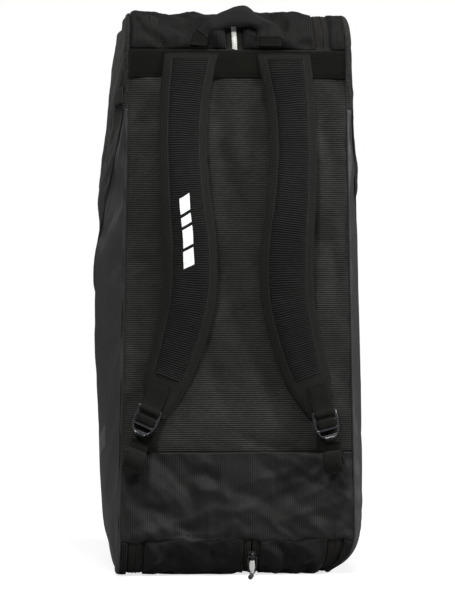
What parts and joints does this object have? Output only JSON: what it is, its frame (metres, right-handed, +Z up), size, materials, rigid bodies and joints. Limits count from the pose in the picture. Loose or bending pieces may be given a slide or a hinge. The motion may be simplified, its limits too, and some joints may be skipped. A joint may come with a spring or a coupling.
{
  "type": "racket tournament bag",
  "caption": "Boxy racket tour bag standing on end, with padded shoulder straps, ladder-lock adjusters, rolled webbing tails, a grab handle and zipped compartments that open on hinged lids.",
  "frame": {"origin": "on the floor, under the middle of the bag standing on its flat bottom end", "axes": "+Z up along the bag; -Y out of the harness face with the shoulder straps; +X to the right seen from the straps"},
  "size_m": [0.3764, 0.384, 0.7749],
  "materials": {
    "ribbed_fabric": "matte",
    "lower_fabric": "matte",
    "coated_fabric": "satin",
    "lining": "matte",
    "webbing": "matte",
    "zip_tape": "matte",
    "buckle_plastic": "satin",
    "black_metal": "gloss",
    "rubber_grip": "matte"
  },
  "bodies": {
    "root": {"back_panel_upper": "ribbed_fabric", "back_panel_lower": "lower_fabric", "top_webbing_band": "webbing", "bottom_end_left": "lower_fabric", "bottom_end_right": "lower_fabric", "top_end_left": "lower_fabric", "top_end_right": "lower_fabric", "centre_zip_bottom": "zip_tape", "centre_zip_top": "zip_tape", "front_gusset_left": "ribbed_fabric", "divider_left": "lining", "zip_tape_inner_left": "zip_tape", "carry_webbing_left": "webbing", "lower_webbing_left": "webbing", "front_gusset_right": "ribbed_fabric", "divider_right": "lining", "zip_tape_inner_right": "zip_tape", "carry_webbing_right": "webbing", "lower_webbing_right": "webbing"},
    "grab_handle": {"grab_handle": "webbing"},
    "centre_slider": {"centre_slider": "black_metal"},
    "centre_ring": {"centre_pull_ring": "black_metal"},
    "centre_grip": {"centre_pull_grip": "rubber_grip"},
    "lid_left": {"side_panel_left": "coated_fabric", "side_panel_upper_left": "ribbed_fabric", "lid_strip_front_left": "ribbed_fabric", "lid_strip_bottom_left": "lower_fabric", "lid_strip_top_left": "lower_fabric", "zip_tape_outer_left": "zip_tape", "side_loop": "webbing"},
    "centre_flap_left": {"centre_flap_left": "ribbed_fabric", "centre_zip_left": "zip_tape"},
    "slider_left": {"left_slider": "black_metal"},
    "pull_left": {"left_pull": "black_metal"},
    "carry_handle_left": {"carry_handle_left": "webbing"},
    "strap_left": {"strap_pad_left": "webbing", "strap_cover_left": "ribbed_fabric", "webbing_tab_left": "webbing"},
    "buckle_left": {"ladder_lock_left": "buckle_plastic"},
    "roll_left": {"webbing_roll_left": "webbing"},
    "lid_right": {"side_panel_right": "coated_fabric", "side_panel_upper_right": "ribbed_fabric", "lid_strip_front_right": "ribbed_fabric", "lid_strip_bottom_right": "lower_fabric", "lid_strip_top_right": "lower_fabric", "zip_tape_outer_right": "zip_tape"},
    "centre_flap_right": {"centre_flap_right": "ribbed_fabric", "centre_zip_right": "zip_tape"},
    "slider_right": {"right_slider": "black_metal"},
    "pull_right": {"right_pull": "black_metal"},
    "carry_handle_right": {"carry_handle_right": "webbing"},
    "strap_right": {"strap_pad_right": "webbing", "strap_cover_right": "ribbed_fabric", "webbing_tab_right": "webbing"},
    "buckle_right": {"ladder_lock_right": "buckle_plastic"},
    "roll_right": {"webbing_roll_right": "webbing"}
  },
  "joints": [
    {"name": "grab_handle_swing", "type": "hinge", "parent": "root", "child": "grab_handle", "pos_m": [0, -0.153, 0.7205], "axis": [1, 0, 0], "range_deg": [0, 95]},
    {"name": "strap_swing_left", "type": "hinge", "parent": "root", "child": "strap_left", "pos_m": [0, -0.1532, 0.7115], "axis": [-1, 0, 0], "range_deg": [0, 12], "deforming": ["lower_webbing_left"]},
    {"name": "buckle_tilt_left", "type": "hinge", "parent": "strap_left", "child": "buckle_left", "pos_m": [-0.119, -0.16685, 0.228], "axis": [-0.9092, 0, 0.4163], "range_deg": [0, 40]},
    {"name": "roll_swing_left", "type": "hinge", "parent": "buckle_left", "child": "roll_left", "pos_m": [-0.13126, -0.1635, 0.18611], "axis": [-0.9272, 0, 0.3746], "range_deg": [0, 60]},
    {"name": "lid_left_open", "type": "hinge", "parent": "root", "child": "lid_left", "pos_m": [-0.15675, -0.15, 0.385], "axis": [0.0188, 0, 0.9998], "range_deg": [0, 70]},
    {"name": "centre_flap_left_open", "type": "hinge", "parent": "root", "child": "centre_flap_left", "pos_m": [-0.055, 0.16, 0.385], "axis": [0, 0, 1], "range_deg": [0, 95]},
    {"name": "slider_left_travel", "type": "slide", "parent": "lid_left", "child": "slider_left", "axis": [0.026, 0, 0.9997], "range_m": [0, 0.57]},
    {"name": "pull_left_swing", "type": "hinge", "parent": "slider_left", "child": "pull_left", "pos_m": [-0.1354, 0.1642, 0.102], "axis": [1, 0, 0], "range_deg": [0, 150]},
    {"name": "carry_handle_left_swing", "type": "hinge", "parent": "root", "child": "carry_handle_left", "pos_m": [-0.086, 0.168, 0.39], "axis": [0, 0, 1], "range_deg": [-22, 22]},
    {"name": "strap_swing_right", "type": "hinge", "parent": "root", "child": "strap_right", "pos_m": [0, -0.1532, 0.7115], "axis": [-1, 0, 0], "range_deg": [0, 12], "deforming": ["lower_webbing_right"]},
    {"name": "buckle_tilt_right", "type": "hinge", "parent": "strap_right", "child": "buckle_right", "pos_m": [0.116, -0.16685, 0.223], "axis": [-0.969, 0, -0.247], "range_deg": [0, 40]},
    {"name": "roll_swing_right", "type": "hinge", "parent": "buckle_right", "child": "roll_right", "pos_m": [0.12776, -0.16266, 0.18368], "axis": [-0.9393, 0.3052, -0.1564], "range_deg": [0, 60]},
    {"name": "lid_right_open", "type": "hinge", "parent": "root", "child": "lid_right", "pos_m": [0.15675, -0.15, 0.385], "axis": [0.0188, 0, -0.9998], "range_deg": [0, 70]},
    {"name": "centre_flap_right_open", "type": "hinge", "parent": "root", "child": "centre_flap_right", "pos_m": [0.055, 0.16, 0.385], "axis": [0, 0, -1], "range_deg": [0, 95]},
    {"name": "slider_right_travel", "type": "slide", "parent": "lid_right", "child": "slider_right", "axis": [-0.026, 0, 0.9997], "range_m": [0, 0.57]},
    {"name": "pull_right_swing", "type": "hinge", "parent": "slider_right", "child": "pull_right", "pos_m": [0.1334, 0.1642, 0.102], "axis": [1, 0, 0], "range_deg": [0, 150]},
    {"name": "carry_handle_right_swing", "type": "hinge", "parent": "root", "child": "carry_handle_right", "pos_m": [0.086, 0.168, 0.39], "axis": [0, 0, 1], "range_deg": [-22, 22]},
    {"name": "centre_slider_travel", "type": "hinge", "parent": "root", "child": "centre_slider", "pos_m": [0.0205, -0.1, 0.05], "axis": [-1, 0, 0], "range_deg": [0, 10]},
    {"name": "centre_ring_swing", "type": "hinge", "parent": "centre_slider", "child": "centre_ring", "pos_m": [0.0205, -0.1492, 0.02727], "axis": [-1, 0, 0], "range_deg": [0, 90]},
    {"name": "centre_grip_swing", "type": "hinge", "parent": "centre_ring", "child": "centre_grip", "pos_m": [0.0205, -0.1516, 0.0035], "axis": [-1, 0, 0], "range_deg": [0, 45]}
  ]
}
